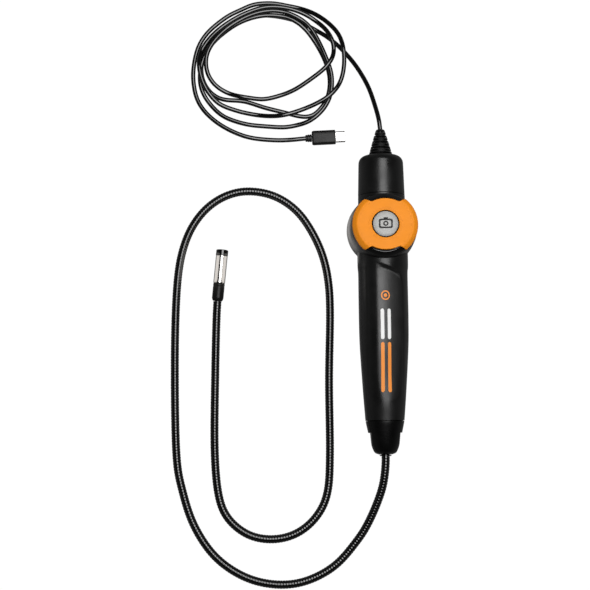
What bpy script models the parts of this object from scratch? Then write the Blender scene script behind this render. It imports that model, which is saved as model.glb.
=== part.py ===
"""Inspection camera: a handle with a dimmer dial and a snapshot button, a gooseneck with
a camera head at one end, and a cable with a USB-C plug at the other.

The handle lies on its back along Y with the dial facing up (+Z). The gooseneck leaves
the nose at -Y and the cable leaves the end cap at +Y. The origin is under the handle's
axis, near its middle, on the surface that everything lies on. Sizes are in millimetres and
the helpers turn them into metres. The routes of the two cords are in metres.
"""

import math

import bmesh
import bpy
from mathutils import Matrix, Vector

MM = 0.001
GAP = 0.3                      # clearance between pieces that touch
MERGE = 0.00001                # merge distance of turned and welded meshes, in metres

# Handle
NOSE_SEAM = -90.4
CAP_SEAM = 70.6
OUTLINE = [(NOSE_SEAM, 13.9), (-68.9, 15.5), (-39.0, 17.3), (-19.1, 17.7), (0.9, 17.7),
           (14.4, 17.7), (20.8, 18.1), (40.0, 17.9), (62.0, 17.0), (CAP_SEAM, 16.8)]
WALL = 2.4
FLAT = 0.5                     # how deep the underside is planed off
PARTING = 15.5                 # height of the joint between the two shells
NOSE_AXIS = 13.4               # height of the turned nose and of the gooseneck in it
CAP_AXIS = 16.0                # height of the turned end cap and of the cable in it
RELIEF_BASE = 8.7              # radius of the strain relief where it leaves the end cap

# Dial and button, stacked on the hub
HUB = 46.2                     # hub centre along Y
HUB_TOP = 37.7
DIAL_BASE = HUB_TOP + 2 * GAP
DIAL_TOP = 44.2
DIAL_RADIUS = 23.2
FACE_RADIUS = 20.2             # where the dial's chamfer ends
NOTCH_RADIUS = 19.0            # inner edge of the two thumb notches
NOTCH_HALF_ANGLE = math.radians(37.5)
BUTTON_RADIUS = 9.4
BUTTON_BORE = BUTTON_RADIUS + GAP
FLANGE_RADIUS = 10.3           # holds the button under the dial cap
SLEEVE_RADIUS = 12.6

# Boards
BOARD_TOP = 13.1
BOARD_THICK = 1.6
HUB_BOARD_TOP = 28.6
BOARD_SCREWS = [(-7.6, -21.0), (7.6, -21.0)]
CASE_SCREWS = [(-6.5, -74.0), (6.5, -74.0), (-18.0, HUB), (18.0, HUB)]
NOSE_POST_LOW, NOSE_POST_TOP = 3.1, 25.3
HUB_POST_LOW, HUB_POST_TOP = 2.1, 35.7
PILOT_TOP = 23.0

# Gooseneck and camera head
TUBE_RADIUS = 3.0
HEAD_RADIUS = 4.25
BEZEL_RADIUS = 4.35
HEAD_BASE = Vector((-0.1187, -0.0031, 0.0044))
HEAD_AIM = Vector((0.1016, 0.9948, 0.0)).normalized()
SLEEVE_LENGTH = 12.7
SPIGOT_LENGTH = 16.5          # the sleeve with its spigot inside the barrel
BARREL_LENGTH = 20.0
HEAD_LENGTH = 37.2
LYING = TUBE_RADIUS * MM       # height of the tube's middle where it lies flat
TUBE_ROUTE = [
    (0.0, -0.1117, 0.0134), (0.0, -0.1210, 0.0134), (-0.0010, -0.1300, 0.0128),
    (-0.0025, -0.1380, 0.0113), (-0.0060, -0.1480, 0.0092), (-0.0110, -0.1595, 0.0067),
    (-0.0190, -0.1730, 0.0045), (-0.0380, -0.1935, LYING), (-0.0645, -0.2045, LYING),
    (-0.0935, -0.2020, LYING), (-0.1185, -0.1875, LYING), (-0.1350, -0.1650, LYING),
    (-0.1440, -0.1390, LYING), (-0.1485, -0.1110, LYING), (-0.1494, -0.0400, LYING),
    (-0.1473, 0.0130, LYING), (-0.1416, 0.0406, LYING), (-0.1318, 0.0587, LYING),
    (-0.1191, 0.0704, LYING), (-0.1045, 0.0765, LYING), (-0.0900, 0.0770, LYING),
    (-0.0750, 0.0729, LYING), (-0.0610, 0.0630, LYING), (-0.0508, 0.0489, LYING),
    (-0.0427, 0.0312, LYING), (-0.0385, 0.0120, LYING), (-0.0374, -0.0120, LYING),
    (-0.0388, -0.0610, LYING), (-0.0389, -0.1150, LYING), (-0.0413, -0.1425, LYING),
    (-0.0500, -0.1590, LYING), (-0.0640, -0.1698, LYING), (-0.0810, -0.1734, LYING),
    (-0.0980, -0.1698, LYING), (-0.1122, -0.1580, LYING), (-0.1187, -0.1410, LYING),
    (-0.1212, -0.1080, LYING), (-0.1205, -0.0550, 0.0031), (-0.1195, -0.0180, 0.0038),
    (-0.1187, -0.0035, 0.0044)]

# Cable, coil and plug
CABLE_RADIUS = 1.65
LEAD_ROUTE = [
    (0.0, 0.1200, 0.0160), (-0.0008, 0.1280, 0.0152), (-0.0024, 0.1350, 0.0132),
    (-0.0072, 0.1520, 0.0064), (-0.0140, 0.1660, 0.0026), (-0.0185, 0.1730, 0.0018),
    (-0.0210, 0.1765, 0.0017)]
TAIL_ROUTE = [
    (-0.1350, 0.1540, 0.0017), (-0.1330, 0.1460, 0.0017), (-0.1275, 0.1370, 0.0017),
    (-0.1175, 0.1280, 0.0017), (-0.1060, 0.1215, 0.0017), (-0.0950, 0.1175, 0.0017),
    (-0.0840, 0.1160, 0.0017), (-0.0730, 0.1153, 0.0018), (-0.0640, 0.1155, 0.0024),
    (-0.0580, 0.1160, 0.0030), (-0.0535, 0.1164, 0.0033)]
COIL_CENTRE = (-79.5, 172.5)
COIL_SIZE = (56.5, 48.0)
COIL_EYE_CENTRE = (-83.0, 177.5)
COIL_EYE_SIZE = (36.0, 26.0)
COIL_HEIGHT = 8.0
PLUG_BASE = Vector((-0.0532, 0.1164, 0.0033))
PLUG_AIM = Vector((0.9989, 0.0459, 0.0)).normalized()
COLLAR_LENGTH = 4.0
MOULD_LENGTH = 17.5
MOULD_WIDTH = 10.4
MOULD_THICK = 6.0
SHELL_LENGTH = 6.65
SHELL_WIDTH = 8.25
SHELL_THICK = 2.4

UP = Vector((0.0, 0.0, 1.0))
ALONG = Vector((0.0, 1.0, 0.0))


# ---------------------------------------------------------------- scene helpers

def empty_scene():
    for obj in list(bpy.data.objects):
        bpy.data.objects.remove(obj, do_unlink=True)


def new_collection(name):
    collection = bpy.data.collections.new(name)
    bpy.context.scene.collection.children.link(collection)
    return collection


def material(name, colour, roughness, metallic=0.0):
    made = bpy.data.materials.new(name)
    made.use_nodes = True
    shader = made.node_tree.nodes["Principled BSDF"]
    shader.inputs["Base Color"].default_value = (*colour, 1.0)
    shader.inputs["Roughness"].default_value = roughness
    shader.inputs["Metallic"].default_value = metallic
    return made


def place(obj, look):
    """Put a finished piece in the camera's collection, or a cutter in the cutters'."""
    if look is None:
        CUTTERS.objects.link(obj)
        obj.hide_render = True
        obj.display_type = "WIRE"
    else:
        PIECES.objects.link(obj)
        obj.data.materials.append(look)
    return obj


def pose(obj, at, aim):
    """Stand the object at a point, with its own Z along aim."""
    turn = UP.rotation_difference(aim)
    obj.matrix_world = Matrix.LocRotScale(Vector(at), turn, None)
    return obj


def metres(*values):
    return Vector([value * MM for value in values])


# --------------------------------------------------------------- shape helpers

def turned(name, profile, look, at=(0.0, 0.0, 0.0), aim=UP, segments=32):
    """Turn a profile of (radius, height) in mm, given down its outer side.

    A profile that starts off the axis is closed into a ring.
    """
    bm = bmesh.new()
    points = [bm.verts.new((radius * MM, 0.0, height * MM)) for radius, height in profile]
    for start, end in zip(points, points[1:]):
        bm.edges.new((start, end))
    if profile[0][0] > 0:
        bm.edges.new((points[-1], points[0]))
    mesh = bpy.data.meshes.new(name)
    bm.to_mesh(mesh)
    bm.free()
    obj = place(bpy.data.objects.new(name, mesh), look)
    pose(obj, at, aim)
    screw = obj.modifiers.new("Turn", "SCREW")
    screw.steps = screw.render_steps = segments
    screw.use_merge_vertices = True
    screw.merge_threshold = MERGE
    return obj


def block(name, size, look, at, aim=UP, bevel=0.0):
    """A box of the given size in mm, centred on a point in metres."""
    bm = bmesh.new()
    bmesh.ops.create_cube(bm, size=1.0)
    bmesh.ops.scale(bm, vec=metres(*size), verts=bm.verts)
    mesh = bpy.data.meshes.new(name)
    bm.to_mesh(mesh)
    bm.free()
    obj = place(bpy.data.objects.new(name, mesh), look)
    pose(obj, at, aim)
    if bevel:
        edges = obj.modifiers.new("Edges", "BEVEL")
        edges.width = bevel * MM
        edges.segments = 1
    return obj


def ring_profile(outer, inner, top, bottom):
    return [(outer, top), (outer, bottom), (inner, bottom), (inner, top)]


def o_ring(name, radius, thick, look, at, aim=UP):
    """A torus whose section is a hexagon."""
    angles = [-math.pi * step / 3 for step in range(6)]
    profile = [(radius + thick * math.cos(angle), thick * math.sin(angle)) for angle in angles]
    return turned(name, profile, look, at, aim, segments=16)


def screw_piece(name, at, head_radius, head_height, shank_radius, shank_length, aim, look):
    """A pan-head screw with its head's underside at a point, its shank along -aim."""
    profile = [(0.0, head_height), (head_radius * 0.75, head_height),
               (head_radius, head_height * 0.6), (head_radius, 0.0), (shank_radius, 0.0),
               (shank_radius, 0.5 - shank_length), (shank_radius * 0.4, -shank_length),
               (0.0, -shank_length)]
    return turned(name, profile, look, at, aim, segments=10)


def smooth_curve(points, per_span):
    """Points of a Catmull-Rom curve through the given ones."""
    points = [Vector(point) for point in points]
    first = points[0] * 2 - points[1]
    last = points[-1] * 2 - points[-2]
    padded = [first] + points + [last]
    curve = []
    for a, b, c, d in zip(padded, padded[1:], padded[2:], padded[3:]):
        for step in range(per_span):
            t = step / per_span
            curve.append(0.5 * (2 * b + (c - a) * t + (2 * a - 5 * b + 4 * c - d) * t ** 2
                                + (3 * b - a - 3 * c + d) * t ** 3))
    return curve + [points[-1]]


def even_points(points, spacing):
    """Points about one spacing apart, along a smooth curve through the given ones."""
    curve = smooth_curve(points, 12)
    lengths = [0.0]
    for start, end in zip(curve, curve[1:]):
        lengths.append(lengths[-1] + (end - start).length)
    count = max(2, round(lengths[-1] / spacing))
    spaced = []
    span = 0
    for step in range(count + 1):
        target = lengths[-1] * step / count
        while span < len(curve) - 2 and lengths[span + 1] < target:
            span += 1
        part = (target - lengths[span]) / (lengths[span + 1] - lengths[span])
        spaced.append(curve[span].lerp(curve[span + 1], part))
    return spaced


def tube(name, points, radius, look, resolution=2):
    """A round bar along points in metres."""
    data = bpy.data.curves.new(name, "CURVE")
    data.dimensions = "3D"
    data.bevel_depth = radius * MM
    data.bevel_resolution = resolution
    data.resolution_u = 1
    data.render_resolution_u = 0
    data.use_fill_caps = True
    spline = data.splines.new("POLY")
    spline.points.add(len(points) - 1)
    for slot, point in zip(spline.points, points):
        slot.co = (*point, 1.0)
    return place(bpy.data.objects.new(name, data), look)


def flat_outline(name, loops, low, high, look, at=(0.0, 0.0, 0.0), aim=UP):
    """Closed loops of (x, y) in mm, the first with the others as holes, made solid."""
    data = bpy.data.curves.new(name, "CURVE")
    data.dimensions = "2D"
    data.fill_mode = "BOTH"
    data.extrude = (high - low) / 2 * MM
    data.resolution_u = 1
    data.render_resolution_u = 0
    for loop in loops:
        spline = data.splines.new("POLY")
        spline.points.add(len(loop) - 1)
        for slot, (x, y) in zip(spline.points, loop):
            slot.co = (x * MM, y * MM, 0.0, 1.0)
        spline.use_cyclic_u = True
    obj = place(bpy.data.objects.new(name, data), look)
    return pose(obj, Vector(at) + aim * (low + high) / 2 * MM, aim)


def as_mesh(obj):
    """Turn a curve object into a mesh object with the same name, place and material."""
    name = obj.name
    graph = bpy.context.evaluated_depsgraph_get()
    mesh = bpy.data.meshes.new_from_object(obj.evaluated_get(graph))
    bm = bmesh.new()
    bm.from_mesh(mesh)
    bmesh.ops.remove_doubles(bm, verts=bm.verts, dist=MERGE)
    bmesh.ops.recalc_face_normals(bm, faces=bm.faces)
    bm.to_mesh(mesh)
    bm.free()
    look = obj.data.materials[0] if obj.data.materials else None
    matrix = obj.matrix_world.copy()
    bpy.data.objects.remove(obj, do_unlink=True)
    mesh.materials.clear()
    made = place(bpy.data.objects.new(name, mesh), look)
    made.matrix_world = matrix
    return made


def boolean(target, tool, operation):
    step = target.modifiers.new(tool.name, "BOOLEAN")
    step.operation = operation
    step.object = tool
    step.solver = "EXACT"
    return target


def polar(radius, angle):
    return radius * math.cos(angle), radius * math.sin(angle)


def ellipse(centre, size, count):
    """A loop of (x, y) points in mm."""
    angles = [2 * math.pi * step / count for step in range(count)]
    return [(centre[0] + size[0] * math.cos(a), centre[1] + size[1] * math.sin(a)) for a in angles]


def pill(width, height, steps=6):
    """A loop with straight sides and round ends, centred on the origin."""
    radius = height / 2
    reach = width / 2 - radius
    loop = []
    for side in (0, 1):
        for step in range(steps + 1):
            angle = math.pi * (side + step / steps) - math.pi / 2
            loop.append((reach * (1 - 2 * side) + radius * math.cos(angle), radius * math.sin(angle)))
    return loop


# --------------------------------------------------------------------- handle

def handle_loft(name, look, inset, reach, count=24):
    """The handle's long round body. Its underside reaches FLAT below the floor.

    inset moves the surface inward and reach lengthens the body past its seams.
    """
    curve = smooth_curve([(y, half, 0) for y, half in OUTLINE], 2)
    stations = [(point.x, point.y) for point in curve]
    stations[0] = (stations[0][0] - reach, stations[0][1])
    stations[-1] = (stations[-1][0] + reach, stations[-1][1])
    bm = bmesh.new()
    rings = []
    for y, half in stations:
        ring = []
        for step in range(count):
            angle = 2 * math.pi * (step + 0.5) / count
            side = (half - inset) * math.cos(angle)
            height = half - FLAT + (half - inset) * math.sin(angle)
            ring.append(bm.verts.new(metres(side, y, height)))
        rings.append(ring)
    for near, far in zip(rings, rings[1:]):
        for step in range(count):
            follow = (step + 1) % count
            bm.faces.new((near[step], far[step], far[follow], near[follow]))
    bm.faces.new(rings[0])
    bm.faces.new(list(reversed(rings[-1])))
    bmesh.ops.recalc_face_normals(bm, faces=bm.faces)
    mesh = bpy.data.meshes.new(name)
    bm.to_mesh(mesh)
    bm.free()
    return place(bpy.data.objects.new(name, mesh), look)


def hub_drum(name, hollow):
    """The round hub's outside, or the space in it."""
    if hollow:
        profile = [(0.0, HUB_TOP - 2.5), (21.2, HUB_TOP - 2.5), (21.9, 28.0), (22.4, 17.0),
                   (22.2, 10.0), (20.6, 5.8), (18.0, 3.1), (0.0, 3.1)]
    else:
        profile = [(0.0, HUB_TOP), (22.4, HUB_TOP), (22.9, 37.2), (23.6, 33.0), (24.3, 26.0),
                   (24.8, 17.0), (25.0, 10.0), (24.3, 5.0), (22.6, 2.0), (20.5, 0.6),
                   (17.0, -FLAT / 2), (0.0, -FLAT / 2)]
    return turned(name, profile, None, metres(0, HUB, 0), segments=30)


def upright_bars(name, bars):
    """Upright round bars of (x, y, radius, low, high) in mm, as one cutter."""
    bm = bmesh.new()
    for x, y, radius, low, high in bars:
        spot = Matrix.Translation(metres(x, y, (low + high) / 2))
        bmesh.ops.create_cone(bm, cap_ends=True, segments=16, radius1=radius * MM,
                              radius2=radius * MM, depth=(high - low) * MM, matrix=spot)
    mesh = bpy.data.meshes.new(name)
    bm.to_mesh(mesh)
    bm.free()
    return place(bpy.data.objects.new(name, mesh), None)


def screw_posts(is_rear):
    """The posts that a shell holds its screws with."""
    if not is_rear:
        return [(x, y, 2.7, PARTING, NOSE_POST_TOP if y < 0 else HUB_POST_TOP)
                for x, y in CASE_SCREWS]
    posts = [(x, y, 2.7, NOSE_POST_LOW if y < 0 else HUB_POST_LOW, PARTING) for x, y in CASE_SCREWS]
    return posts + [(x, y, 2.4, 3.2, BOARD_TOP - BOARD_THICK - GAP) for x, y in BOARD_SCREWS]


def screw_holes(is_rear):
    """Holes for the screws' shanks in the posts."""
    holes = [(x, y, 1.5, 6.0, PILOT_TOP) for x, y in CASE_SCREWS]
    if is_rear:
        holes += [(x, y, 1.3, 5.2, BOARD_TOP) for x, y in BOARD_SCREWS]
    return holes


def make_shells(floor):
    at = metres(0, HUB, 0)
    drum = hub_drum("hub_outside", False)
    hollow = hub_drum("hub_inside", True)
    cavity = handle_loft("handle_inside", None, WALL, 1.0)
    well = turned("hub_well", [(0.0, 40.0), (13.0, 40.0), (13.0, 33.0), (0.0, 33.0)], None, at)
    groove = turned("hub_groove", ring_profile(18.1, 15.9, 40.0, HUB_TOP - 1.7), None, at)
    head_wells = upright_bars("head_wells", [(x, y, 2.3, -2.0, 8.0) for x, y in CASE_SCREWS])
    for name, is_rear in (("front_shell", False), ("rear_shell", True)):
        shell = handle_loft(name, LOOKS["handle"], 0.0, 0.0)
        boolean(shell, drum, "UNION")
        boolean(shell, cavity, "DIFFERENCE")
        boolean(shell, hollow, "DIFFERENCE")
        boolean(shell, upright_bars(name + "_posts", screw_posts(is_rear)), "UNION")
        boolean(shell, upright_bars(name + "_holes", screw_holes(is_rear)), "DIFFERENCE")
        side = 1 if is_rear else -1
        centre = PARTING + side * (50.0 - GAP / 2)
        half_space = block(name + "_side", (80, 240, 100), None, metres(0, 0, centre))
        boolean(shell, half_space, "DIFFERENCE")
        for cutter in [floor, head_wells] if is_rear else [well, groove]:
            boolean(shell, cutter, "DIFFERENCE")


def make_case_screws():
    for index, (x, y) in enumerate(CASE_SCREWS, 1):
        screw_piece(f"case_screw_{index}", metres(x, y, 7.7), 2.0, 1.6, 1.15, 14.0,
                    -UP, LOOKS["steel"])


def floor_cutter():
    return block("floor", (120, 300, 20), None, metres(0, 0, -10))


# ------------------------------------------------------------ nose and end cap

def make_nose(floor):
    outer = [(11.2, -84.0), (11.2, -85.9), (9.7, -85.9), (9.7, -88.3), (11.2, -88.3),
             (11.2, NOSE_SEAM - GAP), (13.9, NOSE_SEAM - GAP), (13.2, -94.0), (11.9, -100.0),
             (11.2, -103.2), (10.3, -106.7), (9.3, -109.8), (8.3, -112.1), (7.2, -113.4),
             (5.4, -114.2), (4.4, -114.4)]
    inner = [(3.4, -114.4), (3.4, -112.0), (4.9, -112.0), (4.9, -106.0), (8.0, -104.0),
             (8.5, -98.0), (8.5, -84.0)]
    cone = turned("nose_cone", outer + inner, LOOKS["satin"], metres(0, 0, NOSE_AXIS), ALONG, 24)
    boolean(cone, floor, "DIFFERENCE")
    for side in (-1, 1):
        recess = block(f"nose_recess_{side}", (6, 20, 40), None,
                       metres(side * 12.7, -109.1, NOSE_AXIS))
        recess.rotation_mode = "XYZ"
        recess.rotation_euler = (0.0, 0.0, side * math.radians(-3.0))
        boolean(cone, recess, "DIFFERENCE")
    o_ring("nose_seal", 10.6, 0.55, LOOKS["rubber"], metres(0, -87.1, NOSE_AXIS), ALONG)
    ring = [(4.0, -114.7), (4.2, -114.9), (4.2, -115.4), (4.1, -115.5), (3.4, -115.5), (3.4, -114.7)]
    turned("gland_ring", ring, LOOKS["satin"], metres(0, 0, NOSE_AXIS), ALONG, 20)
    ferrule = [(3.6, -97.0), (4.5, -97.6), (4.5, -111.3), (1.5, -111.3), (1.5, -97.0)]
    turned("tube_ferrule", ferrule, LOOKS["brass"], metres(0, 0, NOSE_AXIS), ALONG, 24)
    nut = ring_profile(7.4, 4.9, -98.4, -103.6)
    turned("ferrule_nut", nut, LOOKS["brass"], metres(0, 0, NOSE_AXIS), ALONG, 24)


def shoulder(radius, edge, fillet, steps):
    """The rounded corner between a turned side and its end face."""
    corner = []
    for step in range(steps + 1):
        angle = math.pi / 2 * (1 - step / steps)
        corner.append((radius - fillet * (1 - math.cos(angle)), edge - fillet * (1 - math.sin(angle))))
    return corner


def make_end_cap(floor):
    top = 100.1
    outer = [(RELIEF_BASE + GAP, top)] + shoulder(16.1, top, 5.4, 6)
    outer += [(16.2, 93.0), (16.8, CAP_SEAM + GAP), (13.8, CAP_SEAM + GAP), (13.8, 69.3),
              (12.2, 69.3), (12.2, 67.0), (13.8, 67.0), (13.8, 65.0)]
    inner = [(11.2, 65.0), (11.2, 74.0), (13.6, 76.0), (13.5, 93.0), (11.0, 97.4),
             (RELIEF_BASE + GAP, 97.4)]
    cap = turned("end_cap", outer + inner, LOOKS["satin"], metres(0, 0, CAP_AXIS), ALONG, 24)
    bridge = block("clamp_bridge", (25.6, 6, 6), None, metres(0, 86, 10.9))
    boolean(cap, bridge, "UNION")
    boolean(cap, floor, "DIFFERENCE")
    clamp = block("cable_clamp", (18, 5, 2), LOOKS["steel"], metres(0, 86, 19.1), bevel=0.4)
    for index, side in enumerate((-1, 1), 1):
        x = side * 6.0
        hole = [(0.0, 22.0), (1.4, 22.0), (1.4, 9.0), (0.0, 9.0)]
        bore = turned(f"clamp_bore_{index}", hole, None, metres(x, 86, 0), segments=12)
        boolean(clamp, bore, "DIFFERENCE")
        boolean(cap, bore, "DIFFERENCE")
        screw_piece(f"clamp_screw_{index}", metres(x, 86, 20.4), 2.0, 1.4, 1.0, 10.5, UP,
                    LOOKS["steel"])
    o_ring("end_cap_seal", 13.1, 0.55, LOOKS["rubber"], metres(0, 68.15, CAP_AXIS), ALONG)


def make_strain_relief():
    """A ribbed sleeve: rings with narrower necks between, all around a bore."""
    base, tip = 100.4, 119.6
    thin = 2.9
    ribs = 6
    pitch = (tip - base) / ribs
    outer = []
    for rib in range(ribs):
        along = tip - rib * pitch
        radius = thin + (RELIEF_BASE - thin) * (rib / ribs) ** 0.9
        wide = thin + (RELIEF_BASE - thin) * ((rib + 0.7) / ribs) ** 0.9
        neck = wide - 0.8
        outer += [(radius, along), (wide, along - 0.68 * pitch), (neck, along - 0.72 * pitch),
                  (neck + 0.1, along - 0.98 * pitch)]
    outer += [(RELIEF_BASE, base), (RELIEF_BASE, 97.1), (10.0, 97.1), (10.0, 95.0)]
    turned("strain_relief", outer + [(2.0, 95.0), (2.0, tip)], LOOKS["satin"],
           metres(0, 0, CAP_AXIS), ALONG, 18)


# -------------------------------------------------------------- dial and button

def notch_loop(side):
    """The outline of one thumb notch: an arc that swings out past the rim at its ends."""
    middle = side * math.pi / 2
    loop = []
    for step in range(13):
        share = -1 + step / 6
        swing = max(0.0, (abs(share) - 0.75) / 0.25)
        radius = NOTCH_RADIUS + 5.0 * swing ** 2
        loop.append(polar(radius, middle + share * NOTCH_HALF_ANGLE))
    return loop + [polar(30.0, middle + share * NOTCH_HALF_ANGLE) for share in (1.0, 0.0, -1.0)]


def make_dial():
    at = metres(0, HUB, 0)
    core = [(10.6, 41.9), (18.4, 41.9), (18.4, 41.0), (19.4, 41.0), (22.4, 39.0), (22.6, DIAL_BASE),
            (SLEEVE_RADIUS, DIAL_BASE), (SLEEVE_RADIUS, 34.9), (11.8, 34.9), (11.8, 33.1),
            (SLEEVE_RADIUS, 33.1), (SLEEVE_RADIUS, 31.0), (10.6, 31.0)]
    turned("dial_core", core, LOOKS["gloss"], at, segments=28)
    cap = [(BUTTON_BORE, DIAL_TOP), (FACE_RADIUS - 0.3, DIAL_TOP), (FACE_RADIUS, DIAL_TOP - 0.1),
           (22.9, 41.8), (DIAL_RADIUS, 41.2), (DIAL_RADIUS, 38.8), (22.9, 38.8), (22.9, 41.3),
           (18.7, 41.3), (18.7, 42.2), (BUTTON_BORE, 42.2)]
    dial = turned("dial_cap", cap, LOOKS["orange"], at, segments=40)
    for side in (-1, 1):
        notch = flat_outline(f"notch_{side}", [notch_loop(side)], 37.0, 46.0, None, at)
        boolean(dial, as_mesh(notch), "DIFFERENCE")
    turned("dial_retainer", ring_profile(14.6, 12.1, 34.6, 33.4), LOOKS["steel"], at, segments=24)
    wiper = turned("dial_wiper", ring_profile(12.4, 10.9, 30.7, 30.1), LOOKS["brass"], at, segments=24)
    for side in (-1, 1):
        foot = block(f"wiper_foot_{side}", (1.2, 2.0, 1.5), None, metres(side * 11.65, HUB, 29.65))
        boolean(wiper, foot, "UNION")
    o_ring("hub_seal", 17.0, 0.7, LOOKS["rubber"], metres(0, HUB, 37.1))


def make_button():
    at = metres(0, HUB, 0)
    body = [(0.0, 43.9), (BUTTON_RADIUS - 0.3, 43.9), (BUTTON_RADIUS, 43.6), (BUTTON_RADIUS, 41.9),
            (FLANGE_RADIUS, 41.9), (FLANGE_RADIUS, 40.3), (2.6, 40.3), (2.6, 33.0), (2.2, 32.4),
            (0.0, 32.4)]
    turned("snapshot_button", body, LOOKS["silver"], at, segments=28)
    badge = [(0.0, 45.0), (3.4, 44.95), (6.4, 44.8), (8.4, 44.5), (8.8, 44.2), (0.0, 44.2)]
    turned("button_badge", badge, LOOKS["silver"], at, segments=24)
    turns, steps, radius = 4, 10, 5.8
    bottom, top = HUB_BOARD_TOP + GAP + 0.45, 40.3 - GAP - 0.45
    coil = []
    for step in range(turns * steps + 1):
        angle = 2 * math.pi * step / steps
        height = bottom + (top - bottom) * step / (turns * steps)
        coil.append(metres(radius * math.cos(angle), HUB + radius * math.sin(angle), height))
    tube("button_spring", coil, 0.4, LOOKS["steel"], resolution=0)


# ------------------------------------------------------------------ electronics

def chip(name, size, x, y, look):
    """A part that stands on the main board."""
    height = BOARD_TOP + GAP + size[2] / 2
    return block(name, size, look, metres(x, y, height), bevel=0.2)


def drum_part(name, radius, height, x, y, look):
    base = BOARD_TOP + GAP
    profile = [(0.0, height), (radius - 0.4, height), (radius, height - 0.4), (radius, 0.0), (0.0, 0.0)]
    return turned(name, profile, look, metres(x, y, base), segments=16)


def make_boards():
    middle = BOARD_TOP - BOARD_THICK / 2
    board = block("main_board", (21, 77, BOARD_THICK), LOOKS["board"], metres(0, -23.5, middle))
    for index, (x, y) in enumerate(BOARD_SCREWS, 1):
        hole = [(0.0, 20.0), (1.4, 20.0), (1.4, 9.0), (0.0, 9.0)]
        bore = turned(f"board_bore_{index}", hole, None, metres(x, y, 0), segments=12)
        boolean(board, bore, "DIFFERENCE")
        screw_piece(f"board_screw_{index}", metres(x, y, BOARD_TOP + GAP), 2.1, 1.4, 1.0, 7.5, UP,
                    LOOKS["steel"])
    chip("image_processor", (12, 12, 1.6), 0, -36, LOOKS["satin"])
    chip("usb_controller", (8, 8, 1.2), 0, -8, LOOKS["satin"])
    chip("clock_crystal", (4.6, 3.2, 1.2), 0, -17, LOOKS["steel"])
    chip("inductor", (6.4, 6.4, 3.4), 5.5, 3.5, LOOKS["satin"])
    chip("probe_connector", (11, 7, 5), 0, -56, LOOKS["socket"])
    chip("cable_connector", (9, 6, 4.5), 4, 11.4, LOOKS["socket"])
    for index, (x, y) in enumerate([(-6.5, -47), (6.5, -47), (-6, 0)], 1):
        drum_part(f"capacitor_{index}", 2.4, 5.4, x, y, LOOKS["steel"])
    disc = [(0.0, HUB_BOARD_TOP), (14.6, HUB_BOARD_TOP), (14.6, 27.0), (0.0, 27.0)]
    turned("hub_board", disc, LOOKS["board"], metres(0, HUB, 0), segments=24)
    block("tact_switch", (6.2, 6.2, 2.0), LOOKS["satin"], metres(0, HUB, HUB_BOARD_TOP + GAP + 1.0),
          bevel=0.3)


def make_inner_leads():
    hub_lead = [metres(-5, 36, 26.1), metres(-5, 28, 24), metres(-6, 20, 19), metres(-7, 13, 16),
                metres(-7, 9, 14.6)]
    tube("hub_lead", even_points(hub_lead, 0.004), 0.8, LOOKS["rubber"])
    probe_lead = [metres(0, -60.1, 16), metres(0, -68, 16), metres(0, -80, 14.4),
                  metres(0, -90, NOSE_AXIS), metres(0, -96.6, NOSE_AXIS)]
    tube("probe_lead", even_points(probe_lead, 0.005), 1.2, LOOKS["rubber"])
    cable_lead = [metres(4, 14.9, 15.9), metres(3.6, 24, 15.2), metres(1, 44, 15.6),
                  metres(0, 60, CAP_AXIS), metres(0, 80, CAP_AXIS), metres(0, 100, CAP_AXIS),
                  metres(0, 119.5, CAP_AXIS)]
    tube("inner_cable", even_points(cable_lead, 0.007), CABLE_RADIUS - 0.05, LOOKS["rubber"])


# ----------------------------------------------------------- gooseneck and head

def on_head(name, profile, look, segments=18):
    return turned(name, profile, look, HEAD_BASE, HEAD_AIM, segments)


def head_piece_at(height):
    return HEAD_BASE + HEAD_AIM * height * MM


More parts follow.
